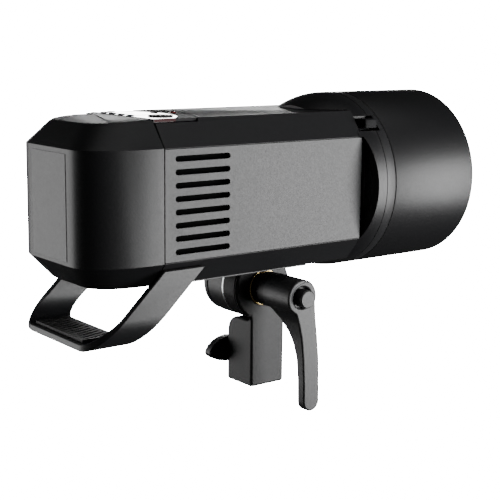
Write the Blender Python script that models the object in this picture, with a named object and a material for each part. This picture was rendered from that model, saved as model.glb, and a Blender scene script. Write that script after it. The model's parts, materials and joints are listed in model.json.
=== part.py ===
"""Monolight strobe on a tilting stand bracket.

Lengths are in millimetres and become metres when a mesh is made. The origin is the centre of
the stand socket's mouth, +X is the direction of the light and +Z is up. Pieces of the head are
drawn in the head's own frame: its zero is on the optical axis, in the plane where the battery
meets the housing.
"""

import math

import bmesh
import bpy
from mathutils import Matrix, Vector

MM = 0.001
GAP = 0.3
ROUND = 48

# The head's frame, and the pivot that it tilts on.
HEAD = Vector((-116.3, -1.6, 147.3))
PIVOT = Vector((-4.8, 0.0, 74.1))
BRACKET = Vector((0.0, 0.0, 0.0))

# Section of the housing: flat sides, and chamfers up to the deck and down to the belly.
HALF_WIDTH = 52.1
SIDE_TOP = 36.0
SIDE_BOTTOM = -37.6
DECK_HALF = 39.2
DECK_Z = 53.7
BELLY_Z = -54.2
HOUSING_LENGTH = 168.4
WALL = 4.0

# Barrel ring, bayonet and lamp cover.
BARREL_R = 65.0
BARREL_END = 191.0
COVER_LENGTH = 84.0
COVER_WALL = 2.6
COWL_START = 142.0
COWL_RISE = 36.0

# Side panels with their cooling slots.
PANEL_THICK = 2.0
SLOT_START = 8.3
SLOT_END = 51.5
SLOT_HEIGHT = 3.8
SLOT_PITCH = 8.54
SLOT_TOP_Z = 29.1
SLOTS = 8

# Battery pack behind the seam.
BATTERY_LENGTH = 53.4
BATTERY_WALL = 2.5
BATTERY_TOP = 53.4
BATTERY_SLOPE = 0.056
CELL_R = 9.2
CELL_LENGTH = 65.0

# Handle strap under the battery.
STRAP = 5.0
STRAP_HALF = 52.0
STRAP_BOTTOM = -91.0
STRAP_CORNER = 20.0

# Bracket, tilt clamp and lever.
BLOCK_HALF_X = 15.3
BLOCK_HALF_Y = 14.8
BLOCK_TOP = 49.6
BLOCK_SHOULDER = 11.0
SOCKET_R = 8.15
SOCKET_DEPTH = 40.0
DISC_R = 24.0
EAR_R = 24.4
BOLT_R = 4.0
EAR_INNER_Y = -10.9
WASHER_Y = 2.3
KNUCKLE_Y = 3.9
KNUCKLE_END_Y = 27.5
WELL_R = 24.9
LEVER_HUB_R = 12.8
LEVER_OUTER_Y = -58.7
LEVER_INNER_Y = -51.9
LEVER_TIP_Z = -10.1
SCREW_Z = 19.2

# Dial and keys on the control panel, as (x, y) in the head frame.
DIAL = (18.0, -20.5)
KEYS = ((3.9, -6.0), (3.9, 5.0), (3.9, 16.0), (3.9, 27.0), (31.5, 8.0), (12.0, 31.5))
KEY_NAMES = ("mode_button", "menu_button", "lamp_button", "wireless_button", "test_button", "power_button")

BLACK = ("satin_black", (0.018, 0.018, 0.020), 0.48, 0.0)
PANEL_GREY = ("side_panel_black", (0.040, 0.041, 0.044), 0.62, 0.0)
RUBBER = ("rubber_black", (0.012, 0.012, 0.013), 0.80, 0.0)
GLOSS = ("gloss_panel", (0.030, 0.008, 0.009), 0.10, 0.0)
LABEL = ("blank_label", (0.105, 0.107, 0.112), 0.55, 0.0)
CAST = ("powder_coat_black", (0.026, 0.026, 0.028), 0.45, 0.1)
BRASS = ("brass", (0.62, 0.44, 0.17), 0.28, 1.0)
STEEL = ("steel", (0.56, 0.57, 0.58), 0.30, 1.0)
ALUMINIUM = ("aluminium", (0.70, 0.71, 0.72), 0.35, 1.0)
GLASS = ("frosted_glass", (0.86, 0.88, 0.88), 0.25, 0.0)
TUBE = ("flash_tube_glass", (0.80, 0.82, 0.80), 0.08, 0.0)
CERAMIC = ("ceramic", (0.78, 0.76, 0.70), 0.60, 0.0)
BOARD = ("circuit_board", (0.02, 0.12, 0.05), 0.50, 0.0)
SLEEVE = ("capacitor_sleeve", (0.03, 0.04, 0.10), 0.35, 0.0)
CELL = ("cell_wrap", (0.05, 0.22, 0.42), 0.40, 0.0)
RED = ("red_window", (0.20, 0.010, 0.012), 0.15, 0.0)


def finish(spec):
    """The named Principled material, made once."""
    name, colour, roughness, metallic = spec
    found = bpy.data.materials.get(name)
    if found:
        return found
    made = bpy.data.materials.new(name)
    made.use_nodes = True
    shader = made.node_tree.nodes["Principled BSDF"]
    shader.inputs["Base Color"].default_value = (*colour, 1.0)
    shader.inputs["Roughness"].default_value = roughness
    shader.inputs["Metallic"].default_value = metallic
    made.diffuse_color = (*colour, 1.0)
    return made


def place(name, shape, spec, frame=HEAD, pivot=None):
    """Turn a bmesh drawn in millimetres in a frame into a named object with its origin at pivot."""
    origin = Vector(pivot) if pivot is not None else Vector((0.0, 0.0, 0.0))
    bmesh.ops.translate(shape, verts=shape.verts, vec=frame - origin)
    bmesh.ops.scale(shape, verts=shape.verts, vec=(MM, MM, MM))
    bmesh.ops.recalc_face_normals(shape, faces=shape.faces)
    mesh = bpy.data.meshes.new(name)
    shape.to_mesh(mesh)
    shape.free()
    mesh.shade_smooth()
    mesh.set_sharp_from_angle(angle=math.radians(30.0))
    obj = bpy.data.objects.new(name, mesh)
    obj.location = origin * MM
    bpy.context.scene.collection.objects.link(obj)
    if spec:
        mesh.materials.append(finish(spec))
    return obj


def cutter(name, shape, frame=HEAD):
    obj = place(name, shape, None, frame)
    obj.hide_render = True
    obj.display_type = "WIRE"
    return obj


def boolean(obj, other, operation="DIFFERENCE"):
    modifier = obj.modifiers.new(other.name, "BOOLEAN")
    modifier.operation = operation
    modifier.solver = "EXACT"
    modifier.object = other


def soften(obj, width, segments=2):
    """Round the piece's sharp edges."""
    modifier = obj.modifiers.new("rounded_edges", "BEVEL")
    modifier.width = width * MM
    modifier.segments = segments
    modifier.limit_method = "ANGLE"
    modifier.angle_limit = math.radians(35.0)


def loft(rings, shape=None):
    """A closed body through rings of points, with a flat cap at each end."""
    shape = shape or bmesh.new()
    made = [[shape.verts.new(point) for point in ring] for ring in rings]
    count = len(made[0])
    for low, high in zip(made, made[1:]):
        for i in range(count):
            j = (i + 1) % count
            shape.faces.new((low[i], low[j], high[j], high[i]))
    shape.faces.new(made[0][::-1])
    shape.faces.new(made[-1])
    return shape


def prism(outline, axis, low, high, shape=None):
    """Extrude an outline along an axis. Its two numbers are the other two axes in x, y, z order."""
    index = "xyz".index(axis)

    def at(pair, value):
        point = list(pair)
        point.insert(index, value)
        return point

    return loft([[at(p, low) for p in outline], [at(p, high) for p in outline]], shape)


def box(low, high, shape=None):
    outline = [(low[0], low[1]), (high[0], low[1]), (high[0], high[1]), (low[0], high[1])]
    return prism(outline, "z", low[2], high[2], shape)


def rounded(low, high, radius, steps=4):
    """A rectangle with round corners."""
    corners = [(high[0], high[1], 0), (low[0], high[1], 90), (low[0], low[1], 180), (high[0], low[1], 270)]
    points = []
    for x, y, start in corners:
        centre_x = x - math.copysign(radius, x - (low[0] + high[0]) / 2)
        centre_y = y - math.copysign(radius, y - (low[1] + high[1]) / 2)
        points += arc((centre_x, centre_y), radius, start, start + 90, steps)
    return points


def arc(centre, radius, start, end, steps):
    """Points on a circle from one angle to another, in degrees."""
    turns = [math.radians(start + (end - start) * i / steps) for i in range(steps + 1)]
    return [(centre[0] + radius * math.cos(t), centre[1] + radius * math.sin(t)) for t in turns]


def turned(profile, centre, axis, steps=ROUND, shape=None):
    """Turn a closed profile of (radius, distance along the axis) points round an axis.

    A radius of zero is only allowed at the first and last points, which then close the ends.
    """
    shape = shape or bmesh.new()
    turn = {"x": Matrix(((0, 0, 1), (1, 0, 0), (0, 1, 0))), "y": Matrix(((0, 1, 0), (0, 0, 1), (1, 0, 0)))}
    frame = turn.get(axis, Matrix.Identity(3))
    centre = Vector(centre)

    def point(radius, along, angle):
        return centre + frame @ Vector((radius * math.cos(angle), radius * math.sin(angle), along))

    angles = [2 * math.pi * i / steps for i in range(steps)]
    rings = []
    for radius, along in profile:
        if radius == 0:
            rings.append([shape.verts.new(point(0, along, 0))] * steps)
        else:
            rings.append([shape.verts.new(point(radius, along, a)) for a in angles])
    pairs = list(zip(rings, rings[1:]))
    if profile[0][0] > 0:
        pairs.append((rings[-1], rings[0]))
    for first, second in pairs:
        for i in range(steps):
            j = (i + 1) % steps
            corners = list(dict.fromkeys((first[i], first[j], second[j], second[i])))
            if len(corners) > 2:
                shape.faces.new(corners)
    return shape


def rod(radius, low, high, centre, axis, steps=24, shape=None):
    return turned([(0, low), (radius, low), (radius, high), (0, high)], centre, axis, steps, shape)


def ring(outer, inner, low, high, centre, axis, steps=ROUND, shape=None):
    profile = [(inner, low), (outer, low), (outer, high), (inner, high)]
    return turned(profile, centre, axis, steps, shape)


def section(inset=0.0):
    """The housing's eight-sided section, as (y, z) points, moved in by inset on every side."""
    sides = [
        ((1, 0), HALF_WIDTH),
        (None, (HALF_WIDTH, SIDE_TOP, DECK_HALF, DECK_Z)),
        ((0, 1), DECK_Z),
        (None, (-DECK_HALF, DECK_Z, -HALF_WIDTH, SIDE_TOP)),
        ((-1, 0), HALF_WIDTH),
        (None, (-HALF_WIDTH, SIDE_BOTTOM, -DECK_HALF, BELLY_Z)),
        ((0, -1), -BELLY_Z),
        (None, (DECK_HALF, BELLY_Z, HALF_WIDTH, SIDE_BOTTOM)),
    ]
    lines = []
    for normal, reach in sides:
        if normal is None:
            y0, z0, y1, z1 = reach
            length = math.hypot(z1 - z0, y1 - y0)
            normal = ((z1 - z0) / length, (y0 - y1) / length)
            reach = normal[0] * y0 + normal[1] * z0
        lines.append((normal, reach - inset))
    points = []
    for (first, a), (second, b) in zip(lines, lines[1:] + lines[:1]):
        spread = first[0] * second[1] - first[1] * second[0]
        points.append(((a * second[1] - b * first[1]) / spread, (b * first[0] - a * second[0]) / spread))
    return points


def panel_arc(radius, x_back, half=DECK_HALF + 12):
    """Plan of the control panel: straight at the back, and an arc of this radius in front."""
    centre_x = -15.2
    edge = math.degrees(math.asin(min(half, radius - 0.5) / radius))
    front = arc((centre_x, 0.0), radius, -edge, edge, 14)
    return [(x_back, front[0][1])] + [p for p in front if p[0] > x_back] + [(x_back, front[-1][1])]


def make_housing():
    shell = place("main_housing", prism(section(), "x", GAP, HOUSING_LENGTH), BLACK)
    boolean(shell, cutter("housing_room", prism(section(WALL), "x", GAP + 3.0, HOUSING_LENGTH + 5)))
    pockets = bmesh.new()
    for side in (-1, 1):
        y0, y1 = sorted((side * (HALF_WIDTH - PANEL_THICK - GAP), side * (HALF_WIDTH + 4)))
        box((-2, y0, SIDE_BOTTOM + 0.4), (HOUSING_LENGTH + 3, y1, SIDE_TOP - 0.4), pockets)
    boolean(shell, cutter("panel_pockets", pockets))
    windows = bmesh.new()
    for side in (-1, 1):
        y0, y1 = sorted((side * 46.0, side * 51.0))
        box((SLOT_START - 1.5, y0, -33.0), (SLOT_END + 1.5, y1, 32.0), windows)
    boolean(shell, cutter("slot_windows", windows))
    boolean(shell, cutter("panel_recess", prism(panel_arc(63.4, -2.0), "z", DECK_Z - 2.6, DECK_Z + 5)))
    boolean(shell, cutter("terminal_hole", box((-2, -17.3, -9.3), (6, 17.3, 9.3))))
    low, high = saddle_bounds(GAP)
    boolean(shell, cutter("saddle_opening", box(low, high), BRACKET))
    lid = place("bottom_plate", box((9, -36, BELLY_Z - 1.7), (132, 36, BELLY_Z - GAP)), BLACK)
    boolean(lid, cutter("plate_opening", box((88, -20.5, BELLY_Z - 5), (140, 40, BELLY_Z + 5))))


def make_side_panels():
    for side, name in ((-1, "side_panel_right"), (1, "side_panel_left")):
        y0, y1 = sorted((side * (HALF_WIDTH - PANEL_THICK), side * HALF_WIDTH))
        plate = box((GAP + 0.2, y0, SIDE_BOTTOM + 0.7), (HOUSING_LENGTH, y1, SIDE_TOP - 0.7))
        panel = place(name, plate, PANEL_GREY)
        slots = bmesh.new()
        half = SLOT_HEIGHT / 2
        for i in range(SLOTS):
            z = SLOT_TOP_Z - i * SLOT_PITCH
            outline = rounded((SLOT_START, z - half), (SLOT_END, z + half), half - 0.1, 3)
            prism(outline, "y", y0 - 2, y1 + 2, slots)
        boolean(panel, cutter(name + "_slots", slots))


def cowl_radius(x):
    """Radius of the cowl that swells out of the deck up to the barrel."""
    reach = min(max((x - COWL_START) / COWL_RISE, 0.0), 1.0)
    return DECK_Z + (BARREL_R - DECK_Z) * math.sin(math.pi / 2 * reach**0.9)


def make_barrel():
    """The cowl over the deck and belly and the barrel ring in front of the side panels."""
    step = COWL_RISE / 10
    outer = [(cowl_radius(COWL_START + step * i), COWL_START + step * i) for i in range(1, 11)]
    outer += [(BARREL_R, 180.0), (BARREL_R, 190.2), (BARREL_R - 0.8, BARREL_END)]
    inner = [(60.9, BARREL_END), (60.9, 187.0), (57.5, 187.0), (57.5, 172.5), (46.0, 172.5)]
    inner += [(46.0, COWL_START + step)]
    cowl = place("barrel_cowl", turned(outer + inner, (0, 0, 0), "x", 64), BLACK)
    boolean(cowl, cutter("housing_seat", prism(section(-GAP), "x", 120, HOUSING_LENGTH + GAP)))
    flanks = bmesh.new()
    for side in (-1, 1):
        rim = arc((0, (SIDE_TOP + SIDE_BOTTOM) / 2), 40.0, -66, 66, 12)
        outline = [(HOUSING_LENGTH + 0.3 + 5.6 * (x - 16.3) / 23.7, z) for x, z in rim]
        outline = [(110, outline[0][1])] + outline + [(110, outline[-1][1])]
        y0, y1 = sorted((side * 50.5, side * 70.0))
        prism(outline, "y", y0, y1, flanks)
    boolean(cowl, cutter("flank_steps", flanks))
    boolean(cowl, cutter("release_window", box((161.5, -70, 39.6), (186.0, -38.6, 49.6))))


def make_front():
    """Bayonet ring, reflector, tube, lamp and glass dome inside the barrel."""
    mount = place("bayonet_ring", ring(57.2, 46.5, 176.0, 186.6, (0, 0, 0), "x"), ALUMINIUM)
    notches = bmesh.new()
    for turn in range(3):
        notch = box((180, -9, 43), (190, 9, 53))
        bmesh.ops.rotate(
            notch, verts=notch.verts, cent=(0, 0, 0), matrix=Matrix.Rotation(turn * 2.0944, 3, "X")
        )
        spare = bpy.data.meshes.new("notch")
        notch.to_mesh(spare)
        notches.from_mesh(spare)
        notch.free()
        bpy.data.meshes.remove(spare)
    boolean(mount, cutter("bayonet_notches", notches))
    dish = [(0, 170.0), (45.6, 170.0), (45.6, 178.0), (43.8, 178.0), (43.8, 171.8), (0, 171.8)]
    place("reflector_plate", turned(dish, (0, 0, 0), "x"), ALUMINIUM)
    place("tube_socket", rod(27.0, 172.1, 180.0, (0, 0, 0), "x", 32), CERAMIC)
    dome = [(0, 226.0), (14.0, 224.6), (25.0, 218.5), (31.0, 207.0), (31.5, 180.3), (34.5, 180.3)]
    dome += [(34.5, 172.1), (29.6, 172.1), (29.6, 205.0), (24.0, 216.0), (13.0, 222.4), (0, 223.6)]
    place("glass_dome", turned(dome, (0, 0, 0), "x", 36), GLASS)
    place("modelling_lamp", rod(9.0, 180.4, 188.0, (0, 0, 0), "x"), CERAMIC)
    place("flash_tube", tube_shape(), TUBE)


def tube_shape():
    """A ring-shaped tube with two legs that stand on the socket."""
    leg_y, leg_z = 19.0, 4.5
    open_half = math.atan2(leg_z, leg_y)
    radius = math.hypot(leg_y, leg_z)
    steps = 22
    path = [(180.5, -leg_y, -leg_z), (190.0, -leg_y, -leg_z)]
    for i in range(1, steps):
        angle = math.pi + open_half + (2 * math.pi - 2 * open_half) * i / steps
        path.append((200.0, radius * math.cos(angle), radius * math.sin(angle)))
    path += [(190.0, -leg_y, leg_z), (180.5, -leg_y, leg_z)]
    return pipe(path, 3.2, 10)


def pipe(path, radius, sides):
    """A round tube along a path of points."""
    points = [Vector(p) for p in path]
    rings = []
    side = Vector((0, 0, 1))
    for i, point in enumerate(points):
        ahead = points[min(i + 1, len(points) - 1)] - points[max(i - 1, 0)]
        ahead.normalize()
        across = side - ahead * side.dot(ahead)
        if across.length < 0.05:
            across = Vector((0, 1, 0)) - ahead * ahead.y
        across.normalize()
        side = across
        up = ahead.cross(across)
        turns = [2 * math.pi * k / sides for k in range(sides)]
        rings.append([point + radius * (across * math.cos(t) + up * math.sin(t)) for t in turns])
    return loft(rings)


def make_cover():
    start = BARREL_END + GAP
    end = start + COVER_LENGTH
    inside = BARREL_R - COVER_WALL
    profile = [(0, end), (BARREL_R - 3.0, end), (BARREL_R - 1.2, end - 0.5), (BARREL_R - 0.3, end - 1.6)]
    profile += [(BARREL_R, end - 3.4), (BARREL_R, start + 0.6), (BARREL_R - 0.6, start)]
    profile += [(60.5, start), (60.5, start - 3.7), (58.6, start - 3.7), (58.6, start + 3.0)]
    profile += [(inside, start + 3.0), (inside, end - COVER_WALL), (0, end - COVER_WALL)]
    place("lamp_cover", turned(profile, (0, 0, 0), "x", 64), BLACK)


def make_release():
    """The catch that frees the cover and any light shaper, in its window beside the deck."""
    body = box((172.6, -51.0, 41.5), (183.8, -40.6, 48.0))
    catch = place("mount_release", body, BLACK, HEAD, HEAD + Vector((178, -46, 45)))
    soften(catch, 0.8)


def make_electronics():
    place("main_board", box((60, -40, -42), (150, 40, -40.4)), BOARD)
    place("control_board", box((5, -36, 44.0), (44, 36, 45.4)), BOARD)
    for i in range(4):
        y = 28.0 if i % 2 else -28.0
        z = 20.0 if i > 1 else -16.0
        can = rod(15.5, 62.0, 122.0, (0, y, z), "x", 24)
        place(f"flash_capacitor_{i + 1}", can, SLEEVE)
    sink = box((130, -30, -30), (134, 30, 30))
    block = place("heat_sink", sink, ALUMINIUM)
    fins = bmesh.new()
    for i in range(7):
        y = -27.0 + 9.0 * i
        box((133.5, y - 1, -30), (160, y + 1, 30), fins)
    boolean(block, cutter("fins", fins), "UNION")


def make_fan():
    """A frame and a bladed rotor that draw air through the right-hand slots."""
    frame = place("fan_frame", box((8, -38.6, -24), (58, -28.6, 24)), BLACK)
    boolean(frame, cutter("fan_bore", rod(21.5, -45, -20, (33, 0, 0), "y", 32)))
    hub = rod(8.0, -37.6, -30.0, (33, 0, 0), "y", 24)
    rotor = place("fan_rotor", hub, BLACK, HEAD, HEAD + Vector((33, -34, 0)))
    blades = bmesh.new()
    for i in range(7):
        blade = [(7, -37.0), (20.5, -37.0), (20.5, -35.8), (7, -35.8)]
        low = [(33 + r, y, -2.0) for r, y in blade]
        high = [(33 + r, y + 4.8, 5.0) for r, y in blade]
        part = loft([low, high])
        turn = Matrix.Rotation(2 * math.pi * i / 7, 3, "Y")
        bmesh.ops.rotate(part, verts=part.verts, cent=(33, 0, 0), matrix=turn)
        spare = bpy.data.meshes.new("blade")
        part.to_mesh(spare)
        blades.from_mesh(spare)
        part.free()
        bpy.data.meshes.remove(spare)
    boolean(rotor, cutter("fan_blades", blades), "UNION")


def make_controls():
    """The gloss panel on the deck with its display, dial, keys and sensor band."""
    floor = DECK_Z - 2.6 + GAP
    trim = DECK_HALF - 0.3
    side_trim = box((-5, -trim, floor - 2), (60, trim, DECK_Z + 3))
    keep = cutter("panel_trim_lines", side_trim)
    panel = place("control_panel", prism(panel_arc(50.0, GAP + 0.3), "z", floor, DECK_Z), GLOSS)
    boolean(panel, keep, "INTERSECT")
    outer = panel_arc(63.1, GAP + 0.3)
    band = place("sensor_band", prism(outer, "z", floor, DECK_Z - 0.3), BLACK)
    boolean(band, keep, "INTERSECT")
    boolean(band, cutter("band_inner", prism(panel_arc(50.3, -4.0), "z", floor - 2, DECK_Z + 3)))
    holes = bmesh.new()
    box((8.0, -6.0, DECK_Z - 0.8), (28.0, 26.0, DECK_Z + 2), holes)
    rod(8.5, DECK_Z - 1.4, DECK_Z + 2, (DIAL[0], DIAL[1], 0), "z", 32, holes)
    for x, y in KEYS:
        rod(2.9, DECK_Z - 1.4, DECK_Z + 2, (x, y, 0), "z", 16, holes)
    boolean(panel, cutter("control_seats", holes))
    place("display_window", box((8.3, -5.7, DECK_Z - 0.5), (27.7, 25.7, DECK_Z + 0.1)), GLOSS)
    hub_x, hub_y = DIAL
    seat = HEAD + Vector((hub_x, hub_y, DECK_Z))
    dial = ring(8.0, 3.6, DECK_Z - 1.0, DECK_Z + 0.7, (hub_x, hub_y, 0), "z", 32)
    place("control_dial", dial, RUBBER, HEAD, seat)
    middle = rod(3.2, DECK_Z - 0.6, DECK_Z + 0.5, (hub_x, hub_y, 0), "z", 20)
    place("set_button", middle, BLACK, HEAD, seat)
    for (x, y), name in zip(KEYS, KEY_NAMES):
        key = rod(2.5, DECK_Z - 0.6, DECK_Z + 0.4, (x, y, 0), "z", 16)
        place(name, key, RUBBER, HEAD, HEAD + Vector((x, y, DECK_Z)))
    eye_x = -15.2 + 56.6
    eye = [(0, DECK_Z + 1.2), (1.8, DECK_Z + 0.8), (2.8, DECK_Z), (0, DECK_Z)]
    place("slave_sensor", turned(eye, (eye_x, 0, 0), "z", 20), RED)


def battery_outline(half_width, rear, flat, inset=0.0, steps=14):
    """Plan of the battery at one height: square to the seam, swept round to a flat back."""
    power = 2.0 / 2.4
    length = rear - inset
    depth = half_width - flat - inset
    corner = []
    for i in range(1, steps + 1):
        turn = math.pi / 2 * i / steps
        corner.append((-length * math.sin(turn) ** power, flat + depth * math.cos(turn) ** power))
    right = [(x, -y) for x, y in corner]
    return [(-GAP, -flat - depth)] + right + corner[::-1] + [(-GAP, flat + depth)]


def battery_levels(inset=0.0):
    """The plans from the belly to the top of the pack, with their heights."""
    return (
        (battery_outline(37.5, 39.0, 15.0, inset), -53.8 + inset),
        (battery_outline(DECK_HALF, 41.0, 16.0, inset), -52.6 + inset * 0.9),
        (battery_outline(HALF_WIDTH, BATTERY_LENGTH, 24.0, inset), SIDE_BOTTOM),
        (battery_outline(HALF_WIDTH, BATTERY_LENGTH, 24.0, inset), SIDE_TOP),
        (battery_outline(DECK_HALF, 41.0, 16.0, inset), BATTERY_TOP - 1.2 - inset * 0.9),
        (battery_outline(37.5, 39.0, 15.0, inset), BATTERY_TOP - inset),
    )


def battery_rings(inset=0.0, shift=0.0):
    """The plans as rings of points; the top slopes down a little to the back."""
    rings = []
    for plan, z in battery_levels(inset):
        slope = BATTERY_SLOPE if z > SIDE_TOP else 0.0
        rings.append([(x + (shift if x > -1 else 0.0), y, z + slope * x) for x, y in plan])
    return rings


def make_battery():
    case = place("battery_case", loft(battery_rings()), BLACK)
    boolean(case, cutter("battery_room", loft(battery_rings(BATTERY_WALL, 3.0))))
    boolean(case, cutter("latch_seat", prism(rounded((-17.5, 25.5), (-3.5, 40.5), 4.0), "z", 49.6, 58)))
    boolean(case, cutter("gauge_seat", rod(4.0, 45.0, 56.0, (-22.0, 0, 8.0), "y", 20)))
    latch = prism(rounded((-17.1, 25.9), (-3.9, 37.0), 3.6), "z", 50.6, 52.6)
    place("battery_latch", latch, BLACK, HEAD, HEAD + Vector((-10, 31, 52)))
    gauge = rod(3.6, 47.0, 51.4, (-22.0, 0, 8.0), "y", 20)
    place("gauge_button", gauge, RUBBER, HEAD, HEAD + Vector((-22, 51, 8)))
    place("rating_plate", box((-54.1, -22.0, -35.0), (-53.7, 22.0, 33.0)), LABEL)
    for i in range(8):
        x = -15.0 if i % 2 else -35.0
        z = -30.0 + 20.0 * (i // 2)
        half = CELL_LENGTH / 2 if i % 2 else CELL_LENGTH / 2 - 2
        place(f"battery_cell_{i + 1}", rod(CELL_R, -half, half, (x, 0, z), "y", 16), CELL)
    place("cell_contacts", box((-5.0, -16.0, -8.0), (-0.6, 16.0, 8.0)), BRASS)
    place("terminal_block", box((0.4, -17.0, -9.0), (9.0, 17.0, 9.0)), BRASS)


def strap_path(outset=0.0):
    """Half of the strap's outer line, as (y, z) points from its top to the middle of the bar."""
    half = STRAP_HALF - outset
    bottom = STRAP_BOTTOM + outset
    radius = STRAP_CORNER - outset
    bend = arc((half - radius, bottom + radius), radius, 0, -90, 8)
    return [(half, -38.0)] + bend


def strap_edges(z):
    """Where the strap's rear and front edges are at one height."""
    reach = (-42.0 - z) / 49.0
    return 0.4 - 52.4 * reach, 32.3 - 52.3 * min(reach, 1.0)


def make_handle():
    """One strap bent into a U, leaning back under the battery."""
    rings = []
    outer = strap_path()
    inner = strap_path(STRAP)
    pairs = list(zip(outer, inner))
    full = [(o, i) for o, i in pairs] + [((-o[0], o[1]), (-i[0], i[1])) for o, i in reversed(pairs)]
    for (yo, zo), (yi, zi) in full:
        level = max(zo, STRAP_BOTTOM)
        back, front = strap_edges(level)
        rings.append([(back, yo, zo), (front, yo, zo), (front, yi, zi), (back, yi, zi)])
    handle = place("carry_handle", loft(rings), BLACK)
    seat = prism(section(-GAP), "x", -60, 60)
    boolean(handle, cutter("handle_seat", seat))
    boolean(handle, cutter("handle_top_trim", box((-80, -70, -42.0), (60, 70, -30))))
    soften(handle, 0.6, 1)
    pad = box((-48.5, -31, STRAP_BOTTOM + STRAP + GAP), (-24, 31, STRAP_BOTTOM + STRAP + 1.9))
    place("grip_pad", pad, RUBBER)


def saddle_bounds(outset=0.0):
    """Corners of the block that fills the opening in the belly above the discs."""
    x = PIVOT.x
    belly = HEAD.z + BELLY_Z
    low = (x - 20.5 - outset, -18.4 - outset, belly - GAP)
    high = (x + 20.5 + outset, 24.0 + outset, belly + 8.2)
    return low, high


def make_knuckle():
    """The tilting half of the clamp, let into the belly, with its discs."""
    x = PIVOT.x
    z = PIVOT.z
    belly = HEAD.z + BELLY_Z
    low, high = saddle_bounds()
    knuckle = place("tilt_knuckle", box(low, high), CAST, BRACKET)
    end = KNUCKLE_END_Y
    groove = 20.6
    profile = [(0, KNUCKLE_Y), (DISC_R, KNUCKLE_Y), (DISC_R, groove), (DISC_R - 1.2, groove + 0.6)]
    profile += [(DISC_R - 1.2, groove + 1.4), (DISC_R - 0.4, groove + 2.0), (DISC_R - 0.4, end - 1.0)]
    profile += [(DISC_R - 1.4, end), (0, end)]
    drum = turned(profile, (x, 0, z), "y", 64)
    well = rod(WELL_R, -15.3, KNUCKLE_Y + 0.4, (x, 0, z), "y", 64)
    boolean(knuckle, cutter("disc_well", well, BRACKET))
    boolean(knuckle, cutter("knuckle_drum", drum, BRACKET), "UNION")
    above = box((x - 40, high[1] - 0.5, belly - GAP), (x + 40, end + 5, belly + 20))
    boolean(knuckle, cutter("drum_trim", above, BRACKET))
    boolean(knuckle, cutter("knuckle_bore", rod(BOLT_R + GAP, -5, 40, (x, 0, z), "y"), BRACKET))
    friction = ring(DISC_R, BOLT_R + GAP, EAR_INNER_Y + GAP, WASHER_Y - GAP, (x, 0, z), "y", 64)
    place("friction_disc", friction, CAST, BRACKET)
    washer = ring(DISC_R, BOLT_R + GAP, WASHER_Y, KNUCKLE_Y - GAP, (x, 0, z), "y", 64)
    place("tilt_washer", washer, STEEL, BRACKET)


def make_bracket():
    """Stand block with its socket, and the ear that carries the clamp."""
    half = Vector((BLOCK_HALF_X, BLOCK_HALF_Y, 0.0))
    block = place("stand_bracket", box(-half, half + Vector((0, 0, BLOCK_TOP))), CAST, BRACKET)
    x, z = PIVOT.x, PIVOT.z
    edge = BLOCK_HALF_Y - BLOCK_SHOULDER
    round_top = arc((edge, BLOCK_TOP - BLOCK_SHOULDER), BLOCK_SHOULDER, 90, 0, 10)
    corner = round_top + [(BLOCK_HALF_Y + 5, BLOCK_TOP - BLOCK_SHOULDER), (BLOCK_HALF_Y + 5, BLOCK_TOP + 5)]
    corner += [(edge, BLOCK_TOP + 5)]
    boolean(block, cutter("shoulder", prism(corner[::-1], "x", -40, 40), BRACKET))
    left = math.degrees(math.acos((BLOCK_HALF_X + x) / EAR_R))
    right = math.degrees(math.acos((BLOCK_HALF_X - x) / EAR_R))
    ear = arc((x, z), EAR_R, -right, 180 + left, 56)
    ear = [(BLOCK_HALF_X, BLOCK_TOP - 8)] + ear + [(-BLOCK_HALF_X, BLOCK_TOP - 8)]
    boolean(block, cutter("ear", prism(ear, "y", -BLOCK_HALF_Y, EAR_INNER_Y), BRACKET), "UNION")
    boolean(block, cutter("stand_socket", rod(SOCKET_R, -5, SOCKET_DEPTH, (0, 0, 0), "z", 32), BRACKET))
    boolean(block, cutter("ear_bore", rod(BOLT_R + GAP, -20, -5, (x, 0, z), "y"), BRACKET))
    boolean(block, cutter("screw_bore", rod(4.3, 5, 20, (0, 0, SCREW_Z), "y"), BRACKET))
    washer = ring(13.4, BOLT_R + GAP, -BLOCK_HALF_Y - 1.5, -BLOCK_HALF_Y - 0.3, (x, 0, z), "y")
    place("brass_washer", washer, BRASS, BRACKET)
    head = [(0, 34.2), (7.5, 34.2), (8.0, 33.6), (8.0, 27.8), (BOLT_R, 27.8), (BOLT_R, -30.0), (0, -30.0)]
    place("tilt_bolt", turned(head, (x, 0, z), "y", 24), STEEL, BRACKET)


def make_stand_screw():
    """Thumb screw that grips the stand's spigot, with its leaf-shaped wing to the back."""
    pivot = Vector((0, 0, SCREW_Z))
    screw = place("stand_screw", rod(3.9, 8.8, 18.0, (0, 0, SCREW_Z), "y"), CAST, BRACKET, pivot)
    hub = rod(8.0, 15.3, 24.0, (0, 0, SCREW_Z), "y", 24)
    boolean(screw, cutter("screw_hub", hub, BRACKET), "UNION")
    upper = [(-5.0, 11.9), (-12.0, 12.9), (-18.0, 12.1), (-23.0, 10.1), (-27.0, 7.1), (-29.6, 3.7), (-30.2, 1.5)]
    lower = [(-29.2, -0.7), (-26.0, -2.9), (-21.0, -4.9), (-15.0, -6.1), (-10.0, -6.3), (-5.0, -5.7)]
    leaf = [(px, SCREW_Z + pz) for px, pz in upper + lower]
    boolean(screw, cutter("screw_wing", prism(leaf, "y", 16.6, 22.6), BRACKET), "UNION")


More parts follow.
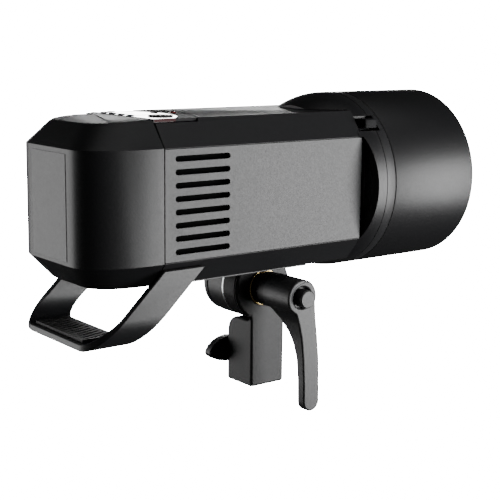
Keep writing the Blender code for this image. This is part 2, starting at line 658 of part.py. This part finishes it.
def lever_outline():
    """Face of the lever: the hub above, and an arm that sweeps forward down to a round tip."""
    x, z = PIVOT.x, PIVOT.z
    half = 7.2
    hub = arc((x, z), LEVER_HUB_R, -20, 215, 22)
    tip = arc((5.4, LEVER_TIP_Z + half), half, 180, 360, 10)
    left = [(-10.2, 62.5), (-7.6, 55.0), (-4.9, 44.0), (-3.2, 29.0), (-2.2, 12.0)]
    right = [(11.8, 27.0), (10.0, 44.0), (7.9, 60.0)]
    return hub + left + tip + right


def make_lever():
    """Hub over the tilt bolt and a flat arm that thickens up into the hub."""
    x, z = PIVOT.x, PIVOT.z
    root_y = -30.0
    arm = prism(lever_outline(), "y", LEVER_OUTER_Y, root_y)
    lever = place("clamp_lever", arm, CAST, BRACKET, PIVOT)
    back = [(LEVER_INNER_Y, -30), (LEVER_INNER_Y, 20), (LEVER_INNER_Y + 0.8, 30), (LEVER_INNER_Y + 3.0, 39)]
    back += [(LEVER_INNER_Y + 7.2, 48), (LEVER_INNER_Y + 13.5, 56), (root_y - 1.0, z - LEVER_HUB_R + 1.0)]
    back += [(root_y + 5, z - LEVER_HUB_R + 1.0), (root_y + 5, -30)]
    boolean(lever, cutter("arm_back", prism(back[::-1], "x", -60, 60), BRACKET))
    hub = rod(LEVER_HUB_R - 0.3, LEVER_INNER_Y - 2, -19.6, (x, 0, z), "y", 36)
    boolean(lever, cutter("lever_hub", hub, BRACKET), "UNION")
    neck = rod(10.6, -20.0, -BLOCK_HALF_Y - 1.8, (x, 0, z), "y", 36)
    boolean(lever, cutter("lever_neck", neck, BRACKET), "UNION")
    boolean(lever, cutter("lever_bore", rod(BOLT_R + GAP, -31.0, -10, (x, 0, z), "y"), BRACKET))
    boolean(lever, cutter("button_seat", rod(7.9, -70, -54.4, (x, 0, z), "y", 32), BRACKET))
    profile = [(0, -64.6), (5.6, -64.6), (6.4, -63.8), (6.4, -56.7), (0, -56.7)]
    place("lever_button", turned(profile, (x, 0, z), "y", 28), CAST, BRACKET, PIVOT)


def main():
    for obj in list(bpy.data.objects):
        bpy.data.objects.remove(obj, do_unlink=True)
    make_housing()
    make_side_panels()
    make_barrel()
    make_front()
    make_cover()
    make_release()
    make_electronics()
    make_fan()
    make_controls()
    make_battery()
    make_handle()
    make_knuckle()
    make_bracket()
    make_stand_screw()
    make_lever()


main()
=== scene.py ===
"""Looks of the monolight strobe: camera, soft studio light, finishes and fine surfaces."""

import json
import math

import bmesh
import bpy
from mathutils import Matrix, Vector


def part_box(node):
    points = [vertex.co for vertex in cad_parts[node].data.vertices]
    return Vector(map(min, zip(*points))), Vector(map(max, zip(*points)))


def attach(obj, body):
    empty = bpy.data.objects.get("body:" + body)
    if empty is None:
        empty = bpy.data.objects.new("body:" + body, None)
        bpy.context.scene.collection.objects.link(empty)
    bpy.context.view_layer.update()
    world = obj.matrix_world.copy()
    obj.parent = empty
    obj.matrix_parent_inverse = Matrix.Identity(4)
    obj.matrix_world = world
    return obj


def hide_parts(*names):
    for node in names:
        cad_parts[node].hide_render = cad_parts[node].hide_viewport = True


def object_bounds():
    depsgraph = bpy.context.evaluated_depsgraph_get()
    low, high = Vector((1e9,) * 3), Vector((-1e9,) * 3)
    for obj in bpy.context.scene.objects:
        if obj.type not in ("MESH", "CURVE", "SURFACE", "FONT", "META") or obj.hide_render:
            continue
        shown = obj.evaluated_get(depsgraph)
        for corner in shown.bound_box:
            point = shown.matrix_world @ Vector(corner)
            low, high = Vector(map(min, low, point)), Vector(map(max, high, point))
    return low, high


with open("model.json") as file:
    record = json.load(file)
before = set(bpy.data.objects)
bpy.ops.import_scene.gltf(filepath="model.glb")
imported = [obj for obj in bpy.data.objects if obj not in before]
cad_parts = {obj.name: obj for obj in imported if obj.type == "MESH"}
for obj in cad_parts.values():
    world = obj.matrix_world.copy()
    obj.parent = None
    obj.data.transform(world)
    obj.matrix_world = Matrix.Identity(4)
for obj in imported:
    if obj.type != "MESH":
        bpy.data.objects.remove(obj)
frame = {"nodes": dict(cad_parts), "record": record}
CAD_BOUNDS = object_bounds()
BODY_OF = {n: body for body, names in frame["record"]["behaviour"]["bodies"].items() for n in names}
SLOT_OF = {part["node"]: part["material_slot"] for part in frame["record"]["subparts"]}
MM = 0.001

# Places read from the frame: the optical axis, the seam behind the housing and the tilt pivot.
COVER_LOW, COVER_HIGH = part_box("lamp_cover")
HOUSING_LOW, HOUSING_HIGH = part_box("main_housing")
WASHER_LOW, WASHER_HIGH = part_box("tilt_washer")
AXIS_Y = (COVER_LOW.y + COVER_HIGH.y) / 2
AXIS_Z = (COVER_LOW.z + COVER_HIGH.z) / 2
SEAM_GAP = 0.3 * MM
SEAM_X = HOUSING_LOW.x - SEAM_GAP
HEAD = Vector((SEAM_X, AXIS_Y, AXIS_Z))
PIVOT = Vector(((WASHER_LOW.x + WASHER_HIGH.x) / 2, 0.0, (WASHER_LOW.z + WASHER_HIGH.z) / 2))


# ---------------------------------------------------------------- camera, floor and light

def add_camera():
    """Behind and to the right of the unit, a little above it, with a short telephoto lens."""
    azimuth, elevation, roll = (math.radians(a) for a in (-37.94, 10.62, 0.63))
    level = math.cos(elevation)
    back = Vector((math.sin(azimuth) * level, -math.cos(azimuth) * level, math.sin(elevation)))
    right = (-back).cross(Vector((0, 0, 1))).normalized()
    up = right.cross(-back)
    side = right * math.cos(roll) + up * math.sin(roll)
    top = up * math.cos(roll) - right * math.sin(roll)
    data = bpy.data.cameras.new("camera")
    data.lens = 83.6
    data.sensor_width = 36.0
    data.clip_start = 0.01
    camera = bpy.data.objects.new("camera", data)
    turn = Matrix((side, top, back)).transposed().to_4x4()
    camera.matrix_world = Matrix.Translation((-0.5181, -0.6568, 0.2553)) @ turn
    bpy.context.scene.collection.objects.link(camera)
    bpy.context.scene.camera = camera


def add_area(name, direction, distance, width, height, power, target):
    """A softbox in a direction from a target, facing it."""
    data = bpy.data.lights.new(name, "AREA")
    data.shape = "RECTANGLE"
    data.size = width
    data.size_y = height
    data.energy = power
    lamp = bpy.data.objects.new(name, data)
    toward = Vector(direction).normalized()
    lamp.location = Vector(target) + toward * distance
    lamp.rotation_euler = (-toward).to_track_quat("-Z", "Y").to_euler()
    lamp.visible_camera = False
    bpy.context.scene.collection.objects.link(lamp)


def add_lights():
    """One large softbox on the near flank, one behind the battery, a strip beyond and a weak top light."""
    middle = (0.0, 0.0, AXIS_Z)
    add_area("side_softbox", (0.62, -0.78, -0.10), 1.3, 0.95, 0.85, 31.0, middle)
    add_area("rear_softbox", (-0.66, 0.75, -0.10), 1.2, 0.7, 0.9, 7.2, middle)
    add_area("far_strip", (0.50, 0.86, 0.10), 1.6, 1.3, 0.2, 13.0, middle)
    add_area("top_fill", (0.1, -0.2, 1.0), 1.5, 1.2, 1.2, 2.5, middle)


PAPER_WHITE = 30.0


def add_world():
    """White to the eye, and nearly dark for the light that falls on the unit."""
    world = bpy.data.worlds.new("studio")
    world.use_nodes = True
    tree = world.node_tree
    tree.nodes.clear()
    output = tree.nodes.new("ShaderNodeOutputWorld")
    mix = tree.nodes.new("ShaderNodeMixShader")
    path = tree.nodes.new("ShaderNodeLightPath")
    room = tree.nodes.new("ShaderNodeBackground")
    room.inputs["Color"].default_value = (1, 1, 1, 1)
    room.inputs["Strength"].default_value = 0.03
    paper = tree.nodes.new("ShaderNodeBackground")
    paper.inputs["Color"].default_value = (1, 1, 1, 1)
    paper.inputs["Strength"].default_value = PAPER_WHITE
    tree.links.new(path.outputs["Is Camera Ray"], mix.inputs["Fac"])
    tree.links.new(room.outputs["Background"], mix.inputs[1])
    tree.links.new(paper.outputs["Background"], mix.inputs[2])
    tree.links.new(mix.outputs["Shader"], output.inputs["Surface"])
    bpy.context.scene.world = world


def add_floor():
    """White paper below the unit, far enough down to leave no shadow."""
    mesh = bpy.data.meshes.new("floor")
    reach, drop = 3.0, 0.30
    level = CAD_BOUNDS[0][2] - drop
    corners = [(-reach, -reach, level), (reach, -reach, level), (reach, reach, level), (-reach, reach, level)]
    mesh.from_pydata(corners, [], [(0, 1, 2, 3)])
    floor = bpy.data.objects.new("floor", mesh)
    material = bpy.data.materials.new("floor_paper")
    material.use_nodes = True
    shader = material.node_tree.nodes["Principled BSDF"]
    shader.inputs["Base Color"].default_value = (0.9, 0.9, 0.9, 1)
    shader.inputs["Roughness"].default_value = 0.9
    shader.inputs["Emission Color"].default_value = (1, 1, 1, 1)
    shader.inputs["Emission Strength"].default_value = PAPER_WHITE
    mesh.materials.append(material)
    floor.visible_glossy = False
    floor.visible_diffuse = False
    bpy.context.scene.collection.objects.link(floor)


# ---------------------------------------------------------------- finishes

def new_material(name, colour, roughness, metallic=0.0, **sockets):
    material = bpy.data.materials.new(name)
    material.use_nodes = True
    shader = material.node_tree.nodes["Principled BSDF"]
    shader.inputs["Base Color"].default_value = (*colour, 1)
    shader.inputs["Roughness"].default_value = roughness
    shader.inputs["Metallic"].default_value = metallic
    for socket, value in sockets.items():
        shader.inputs[socket.replace("_", " ")].default_value = value
    return material, material.node_tree, shader


def add_noise(tree, size, detail=2.0, stretch=(1, 1, 1)):
    """Noise with features of this size in millimetres."""
    coordinates = tree.nodes.new("ShaderNodeTexCoord")
    mapping = tree.nodes.new("ShaderNodeMapping")
    mapping.inputs["Scale"].default_value = stretch
    noise = tree.nodes.new("ShaderNodeTexNoise")
    noise.inputs["Scale"].default_value = 1000.0 / size
    noise.inputs["Detail"].default_value = detail
    tree.links.new(coordinates.outputs["Object"], mapping.inputs["Vector"])
    tree.links.new(mapping.outputs["Vector"], noise.inputs["Vector"])
    return noise


def add_grain(tree, shader, size, depth, stretch=(1, 1, 1)):
    """A fine moulded texture, of a size and a depth in millimetres."""
    noise = add_noise(tree, size, 3.0, stretch)
    bump = tree.nodes.new("ShaderNodeBump")
    bump.inputs["Distance"].default_value = depth * MM
    bump.inputs["Strength"].default_value = 1.0
    tree.links.new(noise.outputs["Fac"], bump.inputs["Height"])
    tree.links.new(bump.outputs["Normal"], shader.inputs["Normal"])


def spread_roughness(tree, shader, size, low, high):
    noise = add_noise(tree, size)
    span = tree.nodes.new("ShaderNodeMapRange")
    span.inputs["From Min"].default_value = 0.3
    span.inputs["From Max"].default_value = 0.7
    span.inputs["To Min"].default_value = low
    span.inputs["To Max"].default_value = high
    tree.links.new(noise.outputs["Fac"], span.inputs["Value"])
    tree.links.new(span.outputs["Result"], shader.inputs["Roughness"])


def spread_colour(tree, shader, size, dark, light, edge=None):
    """Cloudy colour between two shades, and a lighter worn tint on sharp edges."""
    noise = add_noise(tree, size, 4.0)
    mix = tree.nodes.new("ShaderNodeMix")
    mix.data_type = "RGBA"
    mix.inputs["A"].default_value = (*dark, 1)
    mix.inputs["B"].default_value = (*light, 1)
    tree.links.new(noise.outputs["Fac"], mix.inputs["Factor"])
    result = mix.outputs["Result"]
    if edge:
        geometry = tree.nodes.new("ShaderNodeNewGeometry")
        worn = tree.nodes.new("ShaderNodeMapRange")
        worn.inputs["From Min"].default_value = 0.52
        worn.inputs["From Max"].default_value = 0.60
        worn.inputs["To Max"].default_value = 0.55
        tint = tree.nodes.new("ShaderNodeMix")
        tint.data_type = "RGBA"
        tint.inputs["B"].default_value = (*edge, 1)
        tree.links.new(geometry.outputs["Pointiness"], worn.inputs["Value"])
        tree.links.new(worn.outputs["Result"], tint.inputs["Factor"])
        tree.links.new(result, tint.inputs["A"])
        result = tint.outputs["Result"]
    tree.links.new(result, shader.inputs["Base Color"])


def plastic(name, dark, light, roughness, grain=0.35, depth=0.02, edge=(0.06, 0.06, 0.062)):
    """Moulded plastic with a fine grain, slightly uneven in shade and gloss."""
    material, tree, shader = new_material(name, dark, roughness)
    spread_colour(tree, shader, 0.9, dark, light, edge)
    spread_roughness(tree, shader, 1.4, roughness - 0.03, roughness + 0.03)
    add_grain(tree, shader, grain, depth)
    return material


def turned_metal(name, dark, light, roughness, axis):
    """Lathe-turned metal: fine rings round an axis."""
    stretch = tuple(1.0 if i == axis else 0.04 for i in range(3))
    material, tree, shader = new_material(name, dark, roughness, 1.0)
    spread_colour(tree, shader, 3.0, dark, light)
    spread_roughness(tree, shader, 2.0, roughness - 0.06, roughness + 0.08)
    add_grain(tree, shader, 0.25, 0.012, stretch)
    return material


def glass(name, colour, roughness, transmission, grain):
    material, tree, shader = new_material(name, colour, roughness, 0.0, Transmission_Weight=transmission)
    spread_roughness(tree, shader, 4.0, roughness, roughness + 0.1)
    add_grain(tree, shader, grain, 0.01)
    return material


def lamp_board(name, dark, light):
    material, tree, shader = new_material(name, dark, 0.4)
    spread_colour(tree, shader, 1.2, dark, light)
    add_grain(tree, shader, 0.8, 0.03)
    return material


FINISHES = {
    "satin_black": plastic(
        "satin_black_moulded", (0.006, 0.006, 0.007), (0.011, 0.011, 0.012), 0.42, 1.5, 0.035
    ),
    "side_panel_black": plastic(
        "side_panel_moulded", (0.010, 0.010, 0.011), (0.034, 0.034, 0.036), 0.46, 1.5, 0.06
    ),
    "rubber_black": plastic("rubber_matt", (0.010, 0.010, 0.010), (0.018, 0.018, 0.018), 0.62, 0.6, 0.03),
    "gloss_panel": plastic("gloss_acrylic", (0.012, 0.003, 0.004), (0.018, 0.005, 0.006), 0.10, 1.5, 0.001),
    "blank_label": plastic(
        "label_film", (0.030, 0.030, 0.032), (0.036, 0.036, 0.038), 0.42, 0.4, 0.006
    ),
    "powder_coat_black": plastic(
        "powder_coat", (0.014, 0.014, 0.015), (0.024, 0.024, 0.025), 0.43, 1.2, 0.03
    ),
    "brass": turned_metal("brass_turned", (0.70, 0.50, 0.20), (0.90, 0.68, 0.32), 0.24, 1),
    "steel": turned_metal("steel_turned", (0.48, 0.50, 0.50), (0.66, 0.68, 0.68), 0.30, 1),
    "aluminium": turned_metal("aluminium_turned", (0.62, 0.63, 0.64), (0.76, 0.77, 0.78), 0.34, 0),
    "frosted_glass": glass("dome_glass", (0.92, 0.94, 0.93), 0.30, 0.9, 0.3),
    "flash_tube_glass": glass("tube_glass", (0.95, 0.94, 0.88), 0.06, 0.8, 2.0),
    "ceramic": plastic(
        "ceramic_white", (0.72, 0.70, 0.64), (0.80, 0.78, 0.72), 0.60, 0.3, 0.02, (0.84, 0.82, 0.77)
    ),
    "circuit_board": lamp_board("board_mask", (0.01, 0.09, 0.035), (0.03, 0.17, 0.07)),
    "capacitor_sleeve": lamp_board("capacitor_wrap", (0.012, 0.014, 0.035), (0.02, 0.025, 0.06)),
    "cell_wrap": lamp_board("cell_shrink_wrap", (0.03, 0.16, 0.32), (0.06, 0.24, 0.42)),
    "red_window": glass("red_window_acrylic", (0.45, 0.02, 0.02), 0.06, 0.6, 1.0),
}


def muted(name, dark, light, roughness, grain, depth, specular, **options):
    """Plastic with a weaker surface gloss than the usual one."""
    material = plastic(name, dark, light, roughness, grain, depth, **options)
    shader = material.node_tree.nodes["Principled BSDF"]
    shader.inputs["Specular IOR Level"].default_value = specular
    return material


# Finishes of single pieces, which differ a little from that of their slot.
# Near-black, nearly glossless finish of the slot screens: painted shade for the inside of the cooling slots.
SLOT_SHADE_BLACK = muted("slot_shade_mesh", (0.001, 0.001, 0.001), (0.003, 0.003, 0.003), 0.9, 0.8, 0.1, 0.05, edge=None)
# A darker, duller copy of the powder coat for the stand block: painted shade that dims the rear softbox's
# light on its left face.
BLOCK_COAT_SHADED = muted("powder_coat_block_shaded", (0.012, 0.012, 0.013), (0.017, 0.017, 0.018), 0.50, 0.5, 0.02, 0.36)
CATCH_BLACK = muted("catch_black", (0.006, 0.006, 0.007), (0.010, 0.010, 0.011), 0.55, 0.35, 0.02, 0.06)
BAND_GREY = muted("band_black", (0.010, 0.010, 0.011), (0.016, 0.016, 0.017), 0.62, 0.6, 0.02, 0.14)
EDGE_RED = muted(
    "panel_edge_red", (0.045, 0.004, 0.006), (0.060, 0.006, 0.008), 0.45, 0.6, 0.01, 0.12, edge=None
)


# ---------------------------------------------------------------- mesh tools

def repaint(piece, material):
    piece.data.materials.clear()
    piece.data.materials.append(material)


def register(piece, node):
    """The piece stands for a CAD node: it takes its body and its finish."""
    slot = SLOT_OF[node]
    repaint(piece, FINISHES[slot])
    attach(piece, BODY_OF[node])
    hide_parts(node)
    return piece


def extra(piece, body, material):
    """A new small piece that stands for no CAD node."""
    repaint(piece, material)
    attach(piece, body)


def to_object(name, form, smooth_angle=30.0):
    bmesh.ops.recalc_face_normals(form, faces=form.faces)
    mesh = bpy.data.meshes.new(name)
    form.to_mesh(mesh)
    form.free()
    mesh.shade_smooth()
    mesh.set_sharp_from_angle(angle=math.radians(smooth_angle))
    piece = bpy.data.objects.new(name, mesh)
    bpy.context.scene.collection.objects.link(piece)
    return piece


def round_edges(piece, width):
    bevel = piece.modifiers.new("rounded_edges", "BEVEL")
    bevel.width = width * MM
    bevel.segments = 3
    bevel.limit_method = "ANGLE"
    bevel.angle_limit = math.radians(28.0)
    bevel.miter_outer = "MITER_ARC"
    bevel.harden_normals = True
    return piece


def refined(node, width):
    """The CAD node's shape with its edges rounded off."""
    form = bmesh.new()
    form.from_mesh(frame["nodes"][node].data)
    bmesh.ops.remove_doubles(form, verts=form.verts, dist=0.002 * MM)
    bmesh.ops.dissolve_limit(form, angle_limit=math.radians(0.5), verts=form.verts, edges=form.edges)
    piece = to_object(node + "_skin", form)
    round_edges(piece, width)
    return register(piece, node)


def only_rim(piece, level):
    """Round off only the sharp edges that lie in the outer face, at full width."""
    mesh = piece.data
    weights = mesh.attributes.new("bevel_weight_edge", "FLOAT", "EDGE")
    for edge in mesh.edges:
        flat = all(abs(mesh.vertices[i].co.y - level) < 0.01 * MM for i in edge.vertices)
        weights.data[edge.index].value = float(flat and edge.use_edge_sharp)
    bevel = piece.modifiers["rounded_edges"]
    bevel.limit_method = "WEIGHT"
    bevel.use_clamp_overlap = False


def loft(rings):
    form = bmesh.new()
    made = [[form.verts.new(point) for point in ring] for ring in rings]
    count = len(made[0])
    for low, high in zip(made, made[1:]):
        for i in range(count):
            j = (i + 1) % count
            form.faces.new((low[i], low[j], high[j], high[i]))
    form.faces.new(made[0][::-1])
    form.faces.new(made[-1])
    return form


def arc(centre, radius, start, end, steps):
    turns = [math.radians(start + (end - start) * i / steps) for i in range(steps + 1)]
    return [(centre[0] + radius * math.cos(t), centre[1] + radius * math.sin(t)) for t in turns]


def turned(profile, origin, axis="x", steps=160):
    """Turn a closed profile of (radius, distance) points in millimetres round an axis."""
    form = bmesh.new()
    rings = []
    for radius, along in profile:
        ring = []
        for i in range(steps if radius else 1):
            angle = 2 * math.pi * i / steps
            u, v = radius * math.cos(angle), radius * math.sin(angle)
            local = {"x": (along, u, v), "y": (v, along, u), "z": (u, v, along)}[axis]
            ring.append(form.verts.new(Vector(origin) + Vector(local) * MM))
        rings.append(ring * (steps if len(ring) == 1 else 1))
    pairs = list(zip(rings, rings[1:]))
    if profile[0][0] > 0:
        pairs.append((rings[-1], rings[0]))
    for first, second in pairs:
        for i in range(steps):
            j = (i + 1) % steps
            corners = list(dict.fromkeys((first[i], first[j], second[j], second[i])))
            if len(corners) > 2:
                form.faces.new(corners)
    return form


def at_head(x, y, z):
    return HEAD + Vector((x, y, z)) * MM


def put_box(name, low, high, width=0.0):
    """A box between two corners in head millimetres, with its edges rounded."""
    form = bmesh.new()
    bmesh.ops.create_cube(form, size=1.0)
    for vert in form.verts:
        vert.co = at_head(*((a + b) / 2 + (b - a) * v for a, b, v in zip(low, high, vert.co)))
    piece = to_object(name, form)
    return round_edges(piece, width) if width else piece


# ---------------------------------------------------------------- pieces

def build_cover():
    """Lamp cover with a soft front edge."""
    collar, wall, soft = 3.7, 2.6, 4.0
    collar_out, collar_in, ledge = 60.5, 58.6, 3.0
    start = (COVER_LOW.x - SEAM_X) / MM + collar
    end = (COVER_HIGH.x - SEAM_X) / MM
    radius = (COVER_HIGH.z - COVER_LOW.z) / 2 / MM
    inside = radius - wall
    edge = arc((end - soft, radius - soft), soft, 0, 90, 8)
    profile = [(0, end - 0.05)] + [(r, x) for x, r in edge]
    profile += [(radius, start + 0.7), (radius - 0.25, start + 0.2), (radius - 0.7, start)]
    profile += [(collar_out, start), (collar_out, start - collar), (collar_in, start - collar)]
    profile += [(collar_in, start + ledge), (inside, start + ledge), (inside, end - wall), (0, end - wall)]
    register(to_object("lamp_cover_skin", turned(profile, HEAD), 34), "lamp_cover")


def carve(piece, tools):
    """Cut the tools out of a piece and drop them."""
    for tool in tools:
        cut = piece.modifiers.new("cut", "BOOLEAN")
        cut.object = tool
        cut.solver = "EXACT"
    graph = bpy.context.evaluated_depsgraph_get()
    shape = bpy.data.meshes.new_from_object(piece.evaluated_get(graph))
    piece.modifiers.clear()
    piece.data = shape
    for tool in tools:
        bpy.data.objects.remove(tool)
    piece.data.set_sharp_from_angle(angle=math.radians(24))


def sheet(outline, axis, low, high):
    """A prism in head millimetres: an outline across one axis, between two places on it."""
    rings = []
    for place in (low, high):
        if axis == "x":
            rings.append([at_head(place, a, b) for a, b in outline])
        else:
            rings.append([at_head(a, place, b) for a, b in outline])
    return to_object("tool", loft(rings))


def cowl_profile(first, end, radius, deck):
    """The swelling cowl, the ring with its parting line, and the stepped bore, as (radius, distance)."""
    rise, steps = 36.0, 40
    start = first - 3.6
    profile = []
    for i in range(4, steps + 1):
        reach = i / steps
        swell = math.sin(math.pi / 2 * reach ** 0.9)
        profile.append((deck + (radius - deck) * swell - 0.02, max(start + rise * reach, first)))
    groove = radius - 0.35
    line = 182.5
    profile += [(radius, line - 0.3), (groove, line - 0.15), (groove, line + 0.15), (radius, line + 0.3)]
    profile += [(radius, end - 0.8), (radius - 0.2, end - 0.2), (radius - 0.8, end)]
    mouth, seat, throat = 60.9, 57.5, 46.0
    ledge, step = 187.0, 172.5
    profile += [(mouth, end), (mouth, ledge), (seat, ledge), (seat, step), (throat, step), (throat, first)]
    return profile


def build_cowl():
    """The cowl and the barrel ring, with a fine parting line round the ring."""
    low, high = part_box("barrel_cowl")
    first = (low.x - HEAD.x) / MM
    end = (high.x - HEAD.x) / MM
    radius = (high.z - low.z) / 2 / MM
    house_low, house_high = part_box("main_housing")
    deck = (house_high.z - HEAD.z) / MM
    belly = (house_low.z - HEAD.z) / MM
    front = (house_high.x - HEAD.x) / MM + 0.3
    behind = 110.0
    skin = turned(cowl_profile(first, end, radius, deck), HEAD, "x", 200)
    piece = to_object("barrel_cowl_skin", skin)

    # The eight-sided seat that the housing fills, a little wider than the housing.
    side, shoulder = 52.4, 39.3
    upper, lower = 36.1, -37.7
    roof, floor = deck + 0.3, belly - 0.3
    seat = [(-shoulder, roof), (shoulder, roof), (side, upper), (side, lower)]
    seat += [(shoulder, floor), (-shoulder, floor), (-side, lower), (-side, upper)]
    tools = [sheet(seat, "x", behind, front)]

    # The flat flanks, whose front rim bows forward.
    bow, flank_y, clear_y = 40.0, 50.5, 70.0
    rim = arc((0, -0.8), bow, -66, 66, 60)
    flank = [(front + 5.6 * (x - 16.3) / 23.7, z) for x, z in rim]
    flank = [(behind, flank[0][1])] + flank + [(behind, flank[-1][1])]
    tools += [sheet(flank, "y", -clear_y, -flank_y), sheet(flank, "y", flank_y, clear_y)]

    # The window of the mount release.
    tools.append(put_box("tool", (161.5, -clear_y, 39.6), (186.0, -38.6, 49.6)))
    carve(piece, tools)
    register(piece, "barrel_cowl")


def build_shells():
    """The larger CAD shapes with soft edges, each with its edge width in millimetres."""
    skins = {}
    for node, width in (
        ("main_housing", 0.7),
        ("bottom_plate", 0.4),
        ("side_panel_left", 0.35),
        ("side_panel_right", 0.35),
        ("carry_handle", 0.9),
        ("stand_bracket", 2.0),
        ("clamp_lever", 1.3),
        ("stand_screw", 1.8),
        ("mount_release", 0.5),
        ("battery_latch", 0.4),
        ("control_panel", 0.25),
        ("sensor_band", 0.25),
        ("battery_case", 1.6),
    ):
        skins[node] = refined(node, width)
    only_rim(skins["clamp_lever"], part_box("clamp_lever")[0].y)
    skins["stand_bracket"].modifiers["rounded_edges"].use_clamp_overlap = False
    # The stand block takes the darker, duller copy of the powder coat: painted shade.
    repaint(skins["stand_bracket"], BLOCK_COAT_SHADED)
    repaint(skins["mount_release"], CATCH_BLACK)
    repaint(skins["sensor_band"], BAND_GREY)


def build_screens():
    """Near-black, nearly glossless screens close behind the cooling slots: painted shade for the dark inside
    of the slots.
    """
    for side, name in ((-1, "right"), (1, "left")):
        y0, y1 = sorted((side * 46.4, side * 46.9))
        screen = put_box("slot_shade_screen_" + name, (7.0, y0, -32.9), (52.8, y1, 31.9))
        extra(screen, "head", SLOT_SHADE_BLACK)


def ridged(profile, pitch=1.1, depth=0.22):
    """Fine turned ridges along the flat rim between two points of a profile."""
    (radius, start), (_, end) = profile
    count = int(abs(end - start) / pitch)
    step = (end - start) / count
    points = []
    for i in range(count):
        along = start + step * i
        points += [(radius - depth, along), (radius, along + step * 0.3), (radius, along + step * 0.7)]
    return points + [(radius - depth, end)]


def build_discs():
    """The serrated disc of the clamp, the tilt knuckle with soft edges and the brass washer."""
    bore = 4.3
    low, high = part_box("friction_disc")
    radius = (high.x - low.x) / 2 / MM
    y0, y1 = low.y / MM, high.y / MM
    centre = Vector((PIVOT.x, 0.0, PIVOT.z))
    profile = [(bore, y0)] + ridged(((radius, y0), (radius, y1))) + [(bore, y1)]
    register(to_object("friction_disc_skin", turned(profile, centre, "y", 120), 50), "friction_disc")
    refined("tilt_knuckle", 0.35)
    low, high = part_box("brass_washer")
    radius = (high.x - low.x) / 2 / MM
    y0, y1 = low.y / MM, high.y / MM
    rim = arc((radius - 0.6, (y0 + y1) / 2), (y1 - y0) / 2, -90, 90, 8)
    profile = [(bore, y0)] + rim + [(bore, y1)]
    register(to_object("brass_washer_skin", turned(profile, centre, "y", 120), 50), "brass_washer")


def build_grip():
    """The crossbar's rubber grip, with leaf-shaped grooves that sweep across it."""
    low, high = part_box("grip_pad")
    across, along = 44, 150
    grooves = 14
    form = bmesh.new()
    rows = []
    for i in range(across + 1):
        u = i / across
        row = []
        for j in range(along + 1):
            v = j / along
            y = low.y + (high.y - low.y) * v
            drift = 0.10 * (1 - u) ** 1.4
            phase = ((v + drift) * (grooves - 0.6)) % 1.0
            reach = math.sin(math.pi * min(max((u - 0.08) / 0.84, 0.0), 1.0)) ** 0.7
            width = 0.30 * reach
            cut = max(0.0, 1.0 - abs(phase - 0.5) / width) if width > 0.02 else 0.0
            cut = min(1.0, 2.4 * cut)
            rim = min(1.0, 12 * min(u, 1 - u, v, 1 - v))
            scoop = 0.5 * math.sin(math.pi * u)
            drop = (1.2 * cut + scoop) * rim
            row.append(form.verts.new((low.x + (high.x - low.x) * u, y, high.z - drop * MM)))
        rows.append(row)
    for first, second in zip(rows, rows[1:]):
        for j in range(along):
            form.faces.new((first[j], second[j], second[j + 1], first[j + 1]))
    outline = rows[0] + [row[-1] for row in rows[1:-1]] + rows[-1][::-1]
    outline += [row[0] for row in rows[-2:0:-1]]
    base = [form.verts.new((vert.co.x, vert.co.y, low.z)) for vert in outline]
    for i in range(len(outline)):
        j = (i + 1) % len(outline)
        form.faces.new((outline[i], outline[j], base[j], base[i]))
    form.faces.new(base[::-1])
    register(to_object("grip_pad_skin", form, 40), "grip_pad")


def build_panel_edge():
    """The dark red edge of the gloss panel, at the near side of the deck."""
    low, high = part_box("control_panel")
    near = (low.y - HEAD.y) / MM
    top = (high.z - HEAD.z) / MM
    edge = put_box("panel_edge", (0.9, near - 0.16, top - 2.1), (17.4, near + 0.1, top - 0.1))
    extra(edge, "head", EDGE_RED)


def build_label():
    """The blank film on the back of the battery."""
    label = put_box("rating_plate_skin", (-53.72, -22.0, -35.0), (-53.35, 22.0, 33.0), 0.12)
    register(label, "rating_plate")


def finish_nodes():
    """CAD nodes that keep their shape take a finish."""
    for name, node in frame["nodes"].items():
        node.data.materials.clear()
        node.data.materials.append(FINISHES[SLOT_OF[name]])


add_camera()
add_world()
add_floor()
add_lights()
finish_nodes()
build_cover()
build_cowl()
build_shells()
build_screens()
build_label()
build_discs()
build_grip()
build_panel_edge()
